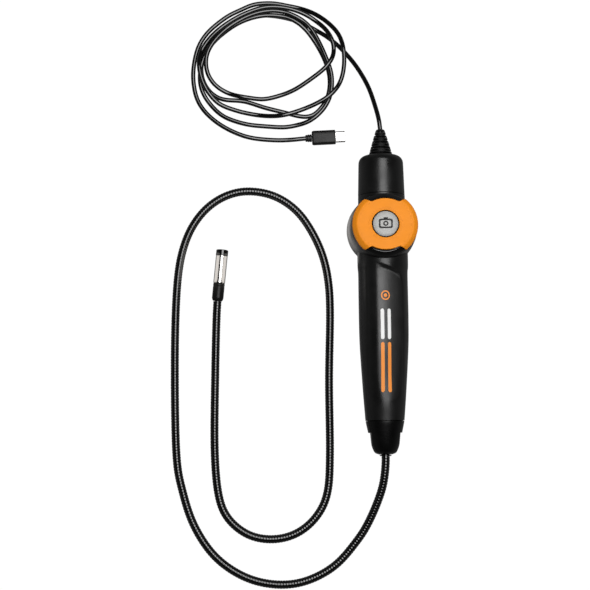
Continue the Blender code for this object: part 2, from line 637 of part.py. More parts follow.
def make_gooseneck():
    tube("gooseneck", even_points(TUBE_ROUTE, 0.0155), TUBE_RADIUS, LOOKS["gloss"])
    sleeve = [(2.2, SPIGOT_LENGTH), (2.2, SLEEVE_LENGTH), (4.0, SLEEVE_LENGTH),
              (4.15, SLEEVE_LENGTH - 0.2), (4.15, 1.8), (3.7, 0.3), (3.3, 0.0), (1.5, 0.0),
              (1.5, SPIGOT_LENGTH)]
    on_head("head_sleeve", sleeve, LOOKS["gloss"])
    barrel_low = SLEEVE_LENGTH + GAP
    barrel_top = SLEEVE_LENGTH + BARREL_LENGTH
    on_head("camera_barrel", ring_profile(HEAD_RADIUS, 3.4, barrel_top, barrel_low), LOOKS["steel"])
    o_ring("head_seal", 2.8, 0.28, LOOKS["rubber"], head_piece_at(14.6), HEAD_AIM)
    on_head("front_bezel", [(3.0, HEAD_LENGTH), (4.0, HEAD_LENGTH), (BEZEL_RADIUS, HEAD_LENGTH - 0.3),
                            (BEZEL_RADIUS, barrel_top + GAP), (3.4, barrel_top + GAP), (3.4, 34.2),
                            (3.0, 34.2)], LOOKS["gloss"])
    on_head("lens_window", [(0.0, 36.9), (2.6, 36.9), (2.6, 36.2), (0.0, 36.2)], LOOKS["glass"], 24)
    ring = on_head("light_ring", ring_profile(2.6, 1.7, 34.8, 34.0), LOOKS["board"], 24)
    for step in range(6):
        angle = math.pi / 3 * step
        led = block(f"led_{step}", (0.7, 0.7, 1.0), None, head_piece_at(35.0), HEAD_AIM)
        led.matrix_world = led.matrix_world @ Matrix.Translation(
            metres(2.15 * math.cos(angle), 2.15 * math.sin(angle), 0))
        boolean(ring, led, "UNION")
    on_head("lens_holder", [(0.0, 35.7), (1.1, 35.7), (1.1, 33.2), (1.6, 33.0), (1.6, 30.8), (0.0, 30.8)],
            LOOKS["gloss"], 20)
    on_head("sensor_board", [(0.0, 30.5), (3.0, 30.5), (3.0, 29.6), (0.0, 29.6)], LOOKS["board"], 20)
    lead = [head_piece_at(height) for height in (0.3, 7.0, 14.0, 21.0, 29.3)]
    tube("head_lead", lead, 0.7, LOOKS["rubber"], resolution=0)


# -------------------------------------------------------------- cable and plug

def plug_point(along):
    return PLUG_BASE + PLUG_AIM * along * MM


def make_cable():
    tube("cable_lead", even_points(LEAD_ROUTE, 0.0055), CABLE_RADIUS, LOOKS["rubber"])
    outer = ellipse(COIL_CENTRE, COIL_SIZE, 40)
    eye = ellipse(COIL_EYE_CENTRE, COIL_EYE_SIZE, 32)
    flat_outline("cable_coil", [outer, eye], 0.0, COIL_HEIGHT, LOOKS["rubber"])
    tube("cable_tail", even_points(TAIL_ROUTE, 0.0065), CABLE_RADIUS, LOOKS["rubber"])


def make_plug():
    collar = [(2.6, COLLAR_LENGTH), (2.85, COLLAR_LENGTH - 0.3), (2.7, 0.4), (2.4, GAP), (0.8, GAP),
              (0.8, COLLAR_LENGTH)]
    turned("plug_collar", collar, LOOKS["rubber"], PLUG_BASE, PLUG_AIM, segments=20)
    mould_at = COLLAR_LENGTH + GAP + (MOULD_LENGTH - GAP) / 2
    mould = block("plug_body", (MOULD_THICK, MOULD_WIDTH, MOULD_LENGTH - GAP), LOOKS["satin"],
                  plug_point(mould_at))
    orient_plug(mould)
    edges = mould.modifiers.new("Edges", "BEVEL")
    edges.width = 1.2 * MM
    edges.segments = 3
    shell_low = COLLAR_LENGTH + MOULD_LENGTH + GAP
    shell = flat_outline("plug_shell", [pill(SHELL_WIDTH, SHELL_THICK),
                                        pill(SHELL_WIDTH - 0.7, SHELL_THICK - 0.7)],
                         -SHELL_LENGTH / 2, SHELL_LENGTH / 2, LOOKS["steel"])
    shell.matrix_world = plug_matrix(shell_low + SHELL_LENGTH / 2) @ Matrix.Rotation(math.pi / 2, 4, "Z")
    tongue = block("plug_tongue", (0.6, 6.4, 5.0), LOOKS["gloss"], plug_point(shell_low + 2.9))
    orient_plug(tongue)


def plug_matrix(along):
    """A frame at a point on the plug's axis: Z along the plug, X up."""
    side = UP.cross(PLUG_AIM)
    turn = Matrix((UP, -side, PLUG_AIM)).transposed()
    if turn.determinant() < 0:
        turn = Matrix((UP, side, PLUG_AIM)).transposed()
    return Matrix.Translation(plug_point(along)) @ turn.to_4x4()


def orient_plug(obj):
    along = (obj.matrix_world.translation - PLUG_BASE).length / MM
    obj.matrix_world = plug_matrix(along)


# --------------------------------------------------------------------- assembly

def make_looks():
    return {
        "handle": material("handle_black", (0.018, 0.018, 0.018), 0.5),
        "satin": material("satin_black", (0.012, 0.012, 0.012), 0.4),
        "gloss": material("gloss_black", (0.008, 0.008, 0.008), 0.15),
        "rubber": material("rubber_black", (0.015, 0.015, 0.015), 0.35),
        "orange": material("dial_orange", (0.85, 0.27, 0.02), 0.4),
        "silver": material("badge_silver", (0.6, 0.6, 0.58), 0.3, 0.8),
        "steel": material("polished_steel", (0.6, 0.6, 0.6), 0.2, 1.0),
        "brass": material("brass", (0.7, 0.5, 0.2), 0.3, 1.0),
        "board": material("board_green", (0.02, 0.12, 0.05), 0.5),
        "socket": material("socket_white", (0.7, 0.68, 0.6), 0.5),
        "glass": material("lens_glass", (0.05, 0.06, 0.08), 0.05),
    }


def shade_smooth():
    for obj in PIECES.objects:
        if obj.type == "MESH":
            obj.data.shade_smooth()


empty_scene()
PIECES = new_collection("inspection_camera")
CUTTERS = new_collection("cutters")
LOOKS = make_looks()

floor_block = floor_cutter()
make_shells(floor_block)
make_case_screws()
make_nose(floor_block)
make_end_cap(floor_block)
make_strain_relief()
make_dial()
make_button()
make_boards()
make_inner_leads()
make_gooseneck()
make_cable()
make_plug()
shade_smooth()
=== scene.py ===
"""Looks of the inspection camera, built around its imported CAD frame.

Sizes, outlines and profiles are in millimetres. Routes and places are in metres, and so is
whatever is multiplied by MM. +Y runs along the handle towards the cable, and +Z is up.
"""

import math

import bmesh
import bpy
import numpy as np
from mathutils import Matrix, Vector


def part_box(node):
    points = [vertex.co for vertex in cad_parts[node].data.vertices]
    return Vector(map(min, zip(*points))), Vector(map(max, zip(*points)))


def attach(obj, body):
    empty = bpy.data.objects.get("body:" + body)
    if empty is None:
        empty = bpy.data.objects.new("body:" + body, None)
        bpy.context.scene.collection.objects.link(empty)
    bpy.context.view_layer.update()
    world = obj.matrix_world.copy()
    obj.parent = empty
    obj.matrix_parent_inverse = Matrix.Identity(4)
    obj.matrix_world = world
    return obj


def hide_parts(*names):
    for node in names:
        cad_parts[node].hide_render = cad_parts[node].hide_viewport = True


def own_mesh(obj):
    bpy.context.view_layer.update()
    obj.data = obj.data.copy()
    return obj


MM = 0.001
UP = Vector((0.0, 0.0, 1.0))
ALONG = Vector((0.0, 1.0, 0.0))

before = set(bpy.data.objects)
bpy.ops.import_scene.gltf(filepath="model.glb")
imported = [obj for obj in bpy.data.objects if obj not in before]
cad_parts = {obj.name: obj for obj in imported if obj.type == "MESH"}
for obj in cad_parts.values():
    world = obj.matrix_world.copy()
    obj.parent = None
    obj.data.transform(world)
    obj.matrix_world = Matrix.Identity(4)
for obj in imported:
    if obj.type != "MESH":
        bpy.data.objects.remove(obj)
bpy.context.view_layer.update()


def middle(node):
    low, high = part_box(node)
    return (low + high) / 2


# ---------- dimensions

# Handle: distance along Y and half width, as in the CAD. Its sections are round, and sunk by
# FLAT into the plane that it lies on.
OUTLINE = [(-90.4, 13.9), (-68.9, 15.5), (-39.0, 17.3), (-19.1, 17.7), (0.9, 17.7),
           (14.4, 17.7), (20.8, 18.1), (40.0, 17.9), (62.0, 17.0), (70.6, 16.8)]
NOSE_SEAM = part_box("front_shell")[0].y / MM
CAP_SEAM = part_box("front_shell")[1].y / MM
FLAT = 0.5
WALL = 2.2
FRONT_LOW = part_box("front_shell")[0].z / MM
REAR_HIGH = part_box("rear_shell")[1].z / MM
NOSE_AXIS = middle("gland_ring").z / MM
CAP_AXIS = middle("strain_relief").z / MM
HUB = middle("dial_cap").y / MM
HUB_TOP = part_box("front_shell")[1].z / MM
DIAL_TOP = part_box("dial_cap")[1].z / MM
DIAL_RADIUS = 23.2
FACE_RADIUS = 20.2
NOTCH_HALF_ANGLE = math.radians(38.5)
# Degrees from a notch's middle, and the dial's radius there
NOTCH_EDGE = [(0, 18.1), (10, 18.12), (20, 18.2), (26, 18.3), (30, 18.5), (32.5, 18.95),
              (34.5, 19.9), (36.2, 21.2), (37.6, 22.3), (39, 22.95), (41, DIAL_RADIUS),
              (45, DIAL_RADIUS)]
BUTTON_RADIUS = 9.4

# Cords
TUBE_RADIUS = 3.0
RING_PITCH = 2.0
GROOVE = 0.22                  # depth of the grooves between the gooseneck's rings
CABLE_RADIUS = 1.65
LYING = TUBE_RADIUS * MM
HEAD_BASE = Vector((-0.1187, -0.0031, 0.0044))
HEAD_AIM = Vector((0.1016, 0.9948, 0.0)).normalized()
PLUG_BASE = Vector((-0.0532, 0.1164, 0.0033))
PLUG_AIM = Vector((0.9989, 0.0459, 0.0)).normalized()
TUBE_ROUTE = [
    (0.0, -0.1117, 0.0134), (0.0, -0.1210, 0.0134), (-0.0010, -0.1300, 0.0128),
    (-0.0025, -0.1380, 0.0113), (-0.0060, -0.1480, 0.0092), (-0.0110, -0.1595, 0.0067),
    (-0.0190, -0.1730, 0.0045), (-0.0380, -0.1935, LYING), (-0.0645, -0.2045, LYING),
    (-0.0935, -0.2020, LYING), (-0.1185, -0.1875, LYING), (-0.1350, -0.1650, LYING),
    (-0.1440, -0.1390, LYING), (-0.1485, -0.1110, LYING), (-0.1494, -0.0400, LYING),
    (-0.1473, 0.0130, LYING), (-0.1416, 0.0406, LYING), (-0.1318, 0.0587, LYING),
    (-0.1191, 0.0704, LYING), (-0.1045, 0.0765, LYING), (-0.0900, 0.0770, LYING),
    (-0.0750, 0.0729, LYING), (-0.0610, 0.0630, LYING), (-0.0508, 0.0489, LYING),
    (-0.0427, 0.0312, LYING), (-0.0385, 0.0120, LYING), (-0.0374, -0.0120, LYING),
    (-0.0388, -0.0610, LYING), (-0.0389, -0.1150, LYING), (-0.0413, -0.1425, LYING),
    (-0.0500, -0.1590, LYING), (-0.0640, -0.1698, LYING), (-0.0810, -0.1734, LYING),
    (-0.0980, -0.1698, LYING), (-0.1122, -0.1580, LYING), (-0.1187, -0.1410, LYING),
    (-0.1212, -0.1080, LYING), (-0.1205, -0.0550, 0.0031), (-0.1195, -0.0180, 0.0038),
    (-0.1187, -0.0035, 0.0044)]
LEAD_ROUTE = [
    (0.0, 0.1200, 0.0160), (-0.0008, 0.1280, 0.0152), (-0.0024, 0.1350, 0.0132),
    (-0.0072, 0.1520, 0.0064), (-0.0140, 0.1660, 0.0026), (-0.0185, 0.1730, 0.0018),
    (-0.0210, 0.1765, 0.0017)]
TAIL_ROUTE = [
    (-0.1350, 0.1540, 0.0017), (-0.1330, 0.1460, 0.0017), (-0.1275, 0.1370, 0.0017),
    (-0.1175, 0.1280, 0.0017), (-0.1060, 0.1215, 0.0017), (-0.0950, 0.1175, 0.0017),
    (-0.0840, 0.1160, 0.0017), (-0.0730, 0.1153, 0.0018), (-0.0640, 0.1155, 0.0024),
    (-0.0580, 0.1160, 0.0030), (-0.0535, 0.1164, 0.0033)]
# Plan of the coil's loose turns, in mm, one list a turn
COIL_TURNS = [
    [(-29, 186), (-38, 194), (-46, 199), (-55, 204), (-64, 207), (-73, 209)],
    [(-85, 210), (-97, 208), (-109, 202), (-119, 194), (-127, 183), (-130, 171), (-129, 161),
     (-124, 152), (-115, 146), (-99, 145), (-84, 140), (-68, 136), (-57, 133), (-49, 133),
     (-43, 138), (-37, 147), (-35, 158), (-36, 168), (-40, 179), (-46, 190), (-54, 200),
     (-65, 207), (-78, 209)],
    [(-89, 208), (-101, 204), (-113, 196), (-123, 186), (-129, 174), (-131, 161), (-129, 151),
     (-123, 142), (-115, 134), (-106, 130), (-95, 127), (-84, 126), (-68, 125), (-59, 127),
     (-53, 128), (-44, 134), (-37, 143), (-34, 153), (-34, 165), (-38, 177), (-44, 191),
     (-51, 202), (-60, 208)],
    [(-72, 212), (-85, 211), (-97, 207), (-110, 199), (-120, 189), (-126, 178), (-126, 167),
     (-123, 160), (-117, 154), (-106, 149), (-95, 147), (-84, 146), (-72, 149), (-61, 153),
     (-47, 162), (-39, 168), (-34, 174), (-32, 180), (-32, 186), (-34, 191), (-37, 197),
     (-43, 203), (-50, 208), (-57, 211), (-64, 213), (-72, 214), (-81, 214), (-89, 212)],
    [(-101, 207), (-114, 199), (-125, 189), (-131, 178), (-131, 166), (-128, 156), (-123, 148),
     (-117, 142), (-109, 139), (-98, 136), (-87, 134), (-76, 133), (-67, 134), (-58, 137),
     (-45, 142), (-35, 148), (-28, 157), (-25, 168), (-25, 181), (-28, 193), (-35, 202),
     (-45, 210), (-56, 215), (-66, 217)],
    [(-75, 219), (-83, 219), (-92, 218), (-100, 214), (-109, 210), (-117, 204), (-124, 198),
     (-130, 190), (-133, 183), (-135, 174), (-136, 164)],
]


# ---------- materials

SOCKETS = {"specular": "Specular IOR Level", "coat": "Coat Weight", "ior": "IOR",
           "transmission": "Transmission Weight", "emission": "Emission Strength"}


def new_look(name, colour, roughness, metallic=0.0, **extra):
    made = bpy.data.materials.new(name)
    made.use_nodes = True
    shader = made.node_tree.nodes["Principled BSDF"]
    shader.inputs["Base Color"].default_value = (*colour, 1.0)
    shader.inputs["Roughness"].default_value = roughness
    shader.inputs["Metallic"].default_value = metallic
    for word, value in extra.items():
        shader.inputs[SOCKETS[word]].default_value = value
    return made


def grey(level):
    return (level, level, level)


def noise(tree, size_mm, detail, roughness=0.5, stretch=(1, 1, 1)):
    """A noise texture in the object's own space, with features of about size_mm."""
    place = tree.nodes.new("ShaderNodeTexCoord")
    mapping = tree.nodes.new("ShaderNodeMapping")
    mapping.inputs["Scale"].default_value = stretch
    texture = tree.nodes.new("ShaderNodeTexNoise")
    texture.inputs["Scale"].default_value = 1.0 / (size_mm * MM)
    texture.inputs["Detail"].default_value = detail
    texture.inputs["Roughness"].default_value = roughness
    tree.links.new(place.outputs["Object"], mapping.inputs["Vector"])
    tree.links.new(mapping.outputs["Vector"], texture.inputs["Vector"])
    return texture.outputs["Fac"]


def remap(tree, value, low, high, start=0.3, end=0.7):
    made = tree.nodes.new("ShaderNodeMapRange")
    made.inputs["From Min"].default_value = start
    made.inputs["From Max"].default_value = end
    made.inputs["To Min"].default_value = low
    made.inputs["To Max"].default_value = high
    tree.links.new(value, made.inputs["Value"])
    return made.outputs["Result"]


def mix_colours(tree, value, first, second):
    ramp = tree.nodes.new("ShaderNodeMix")
    ramp.data_type = "RGBA"
    ramp.inputs["A"].default_value = (*first, 1.0)
    ramp.inputs["B"].default_value = (*second, 1.0)
    tree.links.new(value, ramp.inputs["Factor"])
    return ramp.outputs["Result"]


def add_bump(tree, shader, height, depth_mm):
    made = tree.nodes.new("ShaderNodeBump")
    made.inputs["Distance"].default_value = depth_mm * MM
    tree.links.new(height, made.inputs["Height"])
    tree.links.new(made.outputs["Normal"], shader.inputs["Normal"])


def moulded(name, colour, roughness, grain_mm, depth_mm, spread=0.08, tint=0.25, **extra):
    """Moulded plastic: a fine spark-eroded grain, and slow drifts of gloss and tone."""
    look = new_look(name, colour, roughness, **extra)
    tree = look.node_tree
    shader = tree.nodes["Principled BSDF"]
    drift = noise(tree, 14.0, 3.0)
    tree.links.new(remap(tree, drift, roughness - spread, roughness + spread),
                   shader.inputs["Roughness"])
    lighter = [channel * (1 + tint) for channel in colour]
    darker = [channel * (1 - tint) for channel in colour]
    tone = mix_colours(tree, remap(tree, noise(tree, 6.0, 4.0), 0.0, 1.0), darker, lighter)
    tree.links.new(tone, shader.inputs["Base Color"])
    add_bump(tree, shader, noise(tree, grain_mm, 3.0, 0.6), depth_mm)
    return look


def brushed(name, colour, roughness, grain_mm, stretch, depth_mm=0.004):
    """Turned metal: grain stretched around or along the piece."""
    look = new_look(name, colour, roughness, 1.0)
    tree = look.node_tree
    shader = tree.nodes["Principled BSDF"]
    grain = noise(tree, grain_mm, 3.0, stretch=stretch)
    tree.links.new(remap(tree, grain, roughness * 0.7, roughness * 1.4),
                   shader.inputs["Roughness"])
    add_bump(tree, shader, grain, depth_mm)
    return look


def make_looks():
    looks = {
        "handle": moulded("soft_touch_black", grey(0.004), 0.34, 0.3, 0.01, specular=0.42),
        "grip": moulded("grip_black", grey(0.005), 0.38, 0.6, 0.04, 0.05, specular=0.5),
        "satin": moulded("satin_black", grey(0.003), 0.34, 0.2, 0.006, specular=0.42),
        "nose": moulded("nose_black", grey(0.002), 0.28, 0.2, 0.005, specular=0.2),
        "rubber": moulded("strain_relief_black", grey(0.004), 0.38, 0.18, 0.008),
        "gloss": moulded("gloss_black", grey(0.0015), 0.1, 0.6, 0.002, 0.03, specular=0.75),
        "gooseneck": moulded("gooseneck_black", grey(0.0015), 0.1, 0.4, 0.001, 0.03, specular=0.75),
        "cable": moulded("cable_black", grey(0.0015), 0.07, 0.5, 0.001, 0.02, specular=0.75),
        "plug": moulded("plug_black", (0.006, 0.0058, 0.0055), 0.36, 0.12, 0.01, specular=0.2),
        "orange": moulded("dial_orange", (0.88, 0.28, 0.014), 0.45, 0.18, 0.006, 0.06, 0.03,
                          specular=0.1),
        "print_orange": moulded("print_orange", (0.9, 0.27, 0.02), 0.5, 0.3, 0.005, 0.05, 0.03),
        "print_white": moulded("print_white", (0.85, 0.85, 0.84), 0.5, 0.3, 0.005, 0.05, 0.03),
        "icon": moulded("icon_grey", grey(0.03), 0.5, 0.3, 0.004, specular=0.1),
        "seal": moulded("seal_rubber", grey(0.012), 0.6, 0.3, 0.01),
        "board": moulded("board_green", (0.01, 0.09, 0.035), 0.35, 0.8, 0.006),
        "cream": moulded("socket_cream", (0.72, 0.68, 0.56), 0.5, 0.3, 0.006, 0.05, 0.05),
        "badge": new_look("badge_silver", (0.42, 0.42, 0.4), 0.4, 0.06, specular=0.15),
        "steel": brushed("polished_steel", (0.6, 0.585, 0.565), 0.17, 0.2, (1, 0.03, 1), 0.0002),
        "plated": brushed("plated_steel", grey(0.6), 0.28, 0.3, (1, 1, 0.2)),
        "brass": brushed("turned_brass", (0.72, 0.5, 0.2), 0.25, 0.3, (0.2, 1, 1)),
        "gold": new_look("contact_gold", (0.85, 0.6, 0.22), 0.25, 1.0),
        "glass": new_look("lens_glass", (0.75, 0.82, 0.88), 0.03, transmission=1.0, ior=1.5),
        "lens": new_look("lens_dark", (0.01, 0.012, 0.03), 0.04, coat=1.0),
        "led": new_look("led_phosphor", (0.9, 0.78, 0.25), 0.4),
    }
    add_flakes(looks["badge"])
    return looks


def add_flakes(look):
    """Fine metal flake under clear resin."""
    tree = look.node_tree
    shader = tree.nodes["Principled BSDF"]
    tone = mix_colours(tree, remap(tree, noise(tree, 0.35, 2.0), 0.0, 1.0),
                       (0.36, 0.36, 0.345), (0.48, 0.48, 0.465))
    tree.links.new(tone, shader.inputs["Base Color"])
    add_bump(tree, shader, noise(tree, 0.5, 2.0), 0.006)


# ---------- mesh helpers

def metres(*values):
    return Vector([value * MM for value in values])


def moved(x, y, z):
    """A shift by millimetres."""
    return Matrix.Translation(metres(x, y, z))


def link(name, data, look=None):
    """A new object for a mesh, a light or a camera, in the scene."""
    obj = bpy.data.objects.new(name, data)
    bpy.context.scene.collection.objects.link(obj)
    if look is not None:
        data.materials.append(look)
    return obj


def shade(mesh, sharp):
    """Smooth shading, except over edges sharper than an angle in degrees."""
    mesh.shade_smooth()
    mesh.set_sharp_from_angle(angle=math.radians(sharp))


def new_object(name, vertices, faces, look, sharp=35.0):
    mesh = bpy.data.meshes.new(name)
    mesh.from_pydata([tuple(v) for v in vertices], [], [tuple(f) for f in faces])
    mesh.update()
    bm = bmesh.new()
    bm.from_mesh(mesh)
    bmesh.ops.remove_doubles(bm, verts=bm.verts, dist=0.000001)
    bmesh.ops.recalc_face_normals(bm, faces=bm.faces)
    bm.to_mesh(mesh)
    bm.free()
    shade(mesh, sharp)
    return link(name, mesh, look)


def skin(rings, closed_around=True, caps=True, closed_along=False):
    """Vertices and quads of a surface through rings of equally many points."""
    rings = np.asarray(rings, float)
    count, around = rings.shape[:2]
    vertices = rings.reshape(-1, 3)
    faces = []
    steps = around if closed_around else around - 1
    for ring in range(count if closed_along else count - 1):
        near, far = ring * around, (ring + 1) % count * around
        for step in range(steps):
            follow = (step + 1) % around
            faces.append((near + step, near + follow, far + follow, far + step))
    if caps and not closed_along:
        faces.append(tuple(range(around))[::-1])
        faces.append(tuple(range((count - 1) * around, count * around)))
    return vertices, faces


def lofted(name, rings, look, sharp=35.0, **closing):
    """A surface through rings of equally many points, in millimetres."""
    vertices, faces = skin(np.array(rings) * MM, **closing)
    return new_object(name, vertices, faces, look, sharp)


def rounded(points, radius):
    """The outline with each inner corner replaced by a short curve."""
    steps = 3
    points = [np.array(point, float) for point in points]
    result = [points[0]]
    for before, corner, after in zip(points, points[1:], points[2:]):
        back, ahead = before - corner, after - corner
        reach = min(radius, np.linalg.norm(back) * 0.45, np.linalg.norm(ahead) * 0.45)
        start = corner + back / np.linalg.norm(back) * reach
        end = corner + ahead / np.linalg.norm(ahead) * reach
        for step in range(steps + 1):
            t = step / steps
            result.append(start * (1 - t) ** 2 + corner * 2 * t * (1 - t) + end * t ** 2)
    return result + [points[-1]]


def turned(name, profile, at, aim, look, segments=96, sharp=35.0):
    """A turned piece: profile of (radius, height) about aim through at.

    A profile that doesn't start on the axis is closed on itself.
    """
    if profile[0][0] > 0:
        profile = list(profile) + [profile[0]]
    angles = np.arange(segments) * 2 * math.pi / segments
    rings = [np.column_stack([radius * np.cos(angles), radius * np.sin(angles),
                              np.full(segments, height)]) for radius, height in profile]
    obj = lofted(name, rings, look, sharp, caps=False)
    obj.data.transform(Matrix.LocRotScale(Vector(at), UP.rotation_difference(aim), None))
    return obj


def slab(name, size, matrix, look, bevel=0.0):
    """A block with rounded edges."""
    bm = bmesh.new()
    bmesh.ops.create_cube(bm, size=1.0)
    bmesh.ops.scale(bm, vec=metres(*size), verts=bm.verts)
    if bevel:
        bmesh.ops.bevel(bm, geom=list(bm.edges), offset=bevel * MM, segments=3, profile=0.5,
                        affect="EDGES")
    mesh = bpy.data.meshes.new(name)
    bm.to_mesh(mesh)
    bm.free()
    mesh.transform(matrix)
    shade(mesh, 40.0)
    return link(name, mesh, look)


def flatten_below(obj):
    """Plane off what reaches below the surface that the handle lies on."""
    for vertex in obj.data.vertices:
        vertex.co.z = max(vertex.co.z, 0.0)


def combine(obj, tool, operation):
    """Join obj with a tool, or cut it, and keep the result as its mesh."""
    step = obj.modifiers.new("combine", "BOOLEAN")
    step.operation = operation
    step.object = tool
    step.solver = "EXACT"
    graph = bpy.context.evaluated_depsgraph_get()
    mesh = bpy.data.meshes.new_from_object(obj.evaluated_get(graph))
    obj.modifiers.clear()
    obj.data = mesh
    shade(mesh, 35.0)
    bpy.data.objects.remove(tool, do_unlink=True)


def join(obj, *others):
    """Several pieces as one object, each keeping its own material."""
    bm = bmesh.new()
    materials = []
    for piece in (obj, *others):
        start = len(bm.faces)
        bm.from_mesh(piece.data)
        bm.faces.ensure_lookup_table()
        slots = []
        for look in piece.data.materials:
            if look not in materials:
                materials.append(look)
            slots.append(materials.index(look))
        for face in bm.faces[start:]:
            face.material_index = slots[face.material_index]
    bm.to_mesh(obj.data)
    bm.free()
    obj.data.materials.clear()
    for look in materials:
        obj.data.materials.append(look)
    for piece in others:
        bpy.data.objects.remove(piece, do_unlink=True)


def finish_piece(obj, body, slot, *nodes):
    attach(obj, body)
    if nodes:
        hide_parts(*nodes)
    return obj


# ---------- curves

def smooth_curve(points, per_span):
    """Points of a Catmull-Rom curve through the given ones."""
    points = np.asarray(points, float)
    padded = np.vstack([2 * points[0] - points[1], points, 2 * points[-1] - points[-2]])
    curve = []
    for a, b, c, d in zip(padded, padded[1:], padded[2:], padded[3:]):
        for t in np.arange(per_span) / per_span:
            curve.append(0.5 * (2 * b + (c - a) * t + (2 * a - 5 * b + 4 * c - d) * t ** 2
                                + (3 * b - a - 3 * c + d) * t ** 3))
    return np.array(curve + [points[-1]])


def even_points(points, spacing):
    """Points about one spacing apart, along a polyline."""
    points = np.asarray(points, float)
    lengths = np.concatenate([[0], np.cumsum(np.linalg.norm(np.diff(points, axis=0), axis=1))])
    targets = np.linspace(0, lengths[-1], max(2, round(lengths[-1] / spacing)) + 1)
    return np.stack([np.interp(targets, lengths, points[:, axis]) for axis in range(3)], axis=1)


def blurred(values, width):
    """Values along an evenly spaced line, smoothed over about width steps."""
    reach = int(width * 3)
    weights = np.exp(-0.5 * (np.arange(-reach, reach + 1) / width) ** 2)
    padded = np.pad(values, reach, mode="edge")
    return np.convolve(padded, weights / weights.sum(), mode="valid")


def blurred_path(points, width):
    """The path smoothed, with its two ends kept in place."""
    smooth = np.stack([blurred(points[:, axis], width) for axis in range(3)], axis=1)
    count = len(points)
    near_end = np.minimum(np.arange(count), np.arange(count)[::-1]) / (3 * width)
    keep = np.clip(1 - near_end, 0, 1)[:, None]
    return smooth * (1 - keep) + points * keep


def swept(name, path, radii, around, look):
    """A tube along path with its own radius at each point, and closed ends."""
    path = np.asarray(path, float)
    tangents = np.gradient(path, axis=0)
    tangents /= np.linalg.norm(tangents, axis=1)[:, None]
    side = np.cross(tangents[0], [0, 0, 1.0])
    sides = []
    for tangent in tangents:
        side = side - tangent * side.dot(tangent)
        side /= np.linalg.norm(side)
        sides.append(side)
    sides = np.array(sides)
    tops = np.cross(sides, tangents)
    angles = np.arange(around) * 2 * math.pi / around
    rings = (path[:, None] + radii[:, None, None]
             * (sides[:, None] * np.cos(angles)[None, :, None]
                + tops[:, None] * np.sin(angles)[None, :, None]))
    vertices, faces = skin(rings)
    return new_object(name, vertices, faces, look, 80.0)


# ---------- handle

HALF_WIDTHS = smooth_curve([(y, half, 0.0) for y, half in OUTLINE], 12)


def half_width(y):
    return np.interp(y, HALF_WIDTHS[:, 0], HALF_WIDTHS[:, 1])


def ease(value):
    value = np.clip(value, 0.0, 1.0)
    return value * value * (3 - 2 * value)


def grip_depth(angle, y):
    """How far the grip panel on the front is sunk at an angle about the handle.

    Its face is a shallow arch, flatter than the handle, with its crest left of the middle.
    """
    crest_x, crest_drop, arch = -5.0, 0.9, 78.0
    least, deepest, blend = 0.15, 1.7, 0.2
    half_across, corner, edge = 15.6, 9.0, 2.0
    top_y, top_slope, slope_cosine = 18.6, 0.42, 0.92
    fade_start, fade_length = -84.0, 30.0
    half = half_width(y)
    across = half * (math.pi / 2 - angle)
    x, height = half * np.cos(angle), half * np.sin(angle)
    above = height - (half - crest_drop - (x - crest_x) ** 2 / arch)
    depth = least + np.minimum(0.5 * (above + np.sqrt(above ** 2 + blend)), deepest)
    from_side = half_across - np.abs(across)
    from_top = (top_y - top_slope * across - y) * slope_cosine
    gap = np.clip(corner - np.abs(from_side - from_top), 0, None)
    inside = np.minimum(from_side, from_top) - gap ** 2 / (4 * corner)
    return depth * ease(inside / edge) * ease((y - fade_start) / fade_length)


def on_handle(angle, y, lift=0.0):
    """A point of the handle's outside."""
    half = half_width(y)
    radius = half - grip_depth(angle, y) + lift
    return np.stack([radius * np.cos(angle), y + 0 * angle, half - FLAT + radius * np.sin(angle)],
                    axis=-1)


def handle_bar(name, look, inset, reach, columns, spacing):
    """The handle's long body as a solid: its outside, or with an inset the hollow in it."""
    stations = np.linspace(NOSE_SEAM - reach, CAP_SEAM + reach,
                           round((CAP_SEAM - NOSE_SEAM) / spacing))
    angles = (np.arange(columns) + 0.5) * 2 * math.pi / columns
    grid_y, grid_angle = np.meshgrid(stations, angles, indexing="ij")
    if inset:
        half = half_width(grid_y)
        rings = np.stack([(half - inset) * np.cos(grid_angle), grid_y,
                          half - FLAT + (half - inset) * np.sin(grid_angle)], axis=-1)
    else:
        wrapped = np.where(grid_angle > 1.5 * math.pi, grid_angle - 2 * math.pi, grid_angle)
        rings = on_handle(wrapped, grid_y)
    return lofted(name, rings, look)


def texture_grip(obj):
    """Give the faces in the grip panel their own rougher material."""
    panel_depth = 0.25
    obj.data.materials.append(LOOKS["grip"])
    for face in obj.data.polygons:
        x, y, z = face.center / MM
        angle = math.atan2(z + FLAT - half_width(y), x)
        if angle > 0 and grip_depth(angle, y) > panel_depth:
            face.material_index = 1


def hub_hollow():
    return [(0.0, HUB_TOP - 2.5), (21.2, HUB_TOP - 2.5), (21.9, 28.0), (22.4, 17.0), (22.2, 10.0),
            (20.6, 5.8), (18.0, 3.1), (0.0, 3.1)]


def hub_outline():
    side = [(22.9, 37.1), (23.6, 33.0), (24.3, 26.0), (24.8, 17.0), (25.0, 10.0), (24.3, 5.0),
            (22.6, 2.0), (20.5, 0.6), (17.0, -FLAT / 2)]
    curve = smooth_curve([(r, z, 0.0) for r, z in side], 4)[:, :2]
    return [(0.0, HUB_TOP), (22.45, HUB_TOP)] + [tuple(p) for p in curve] + [(0.0, -FLAT / 2)]


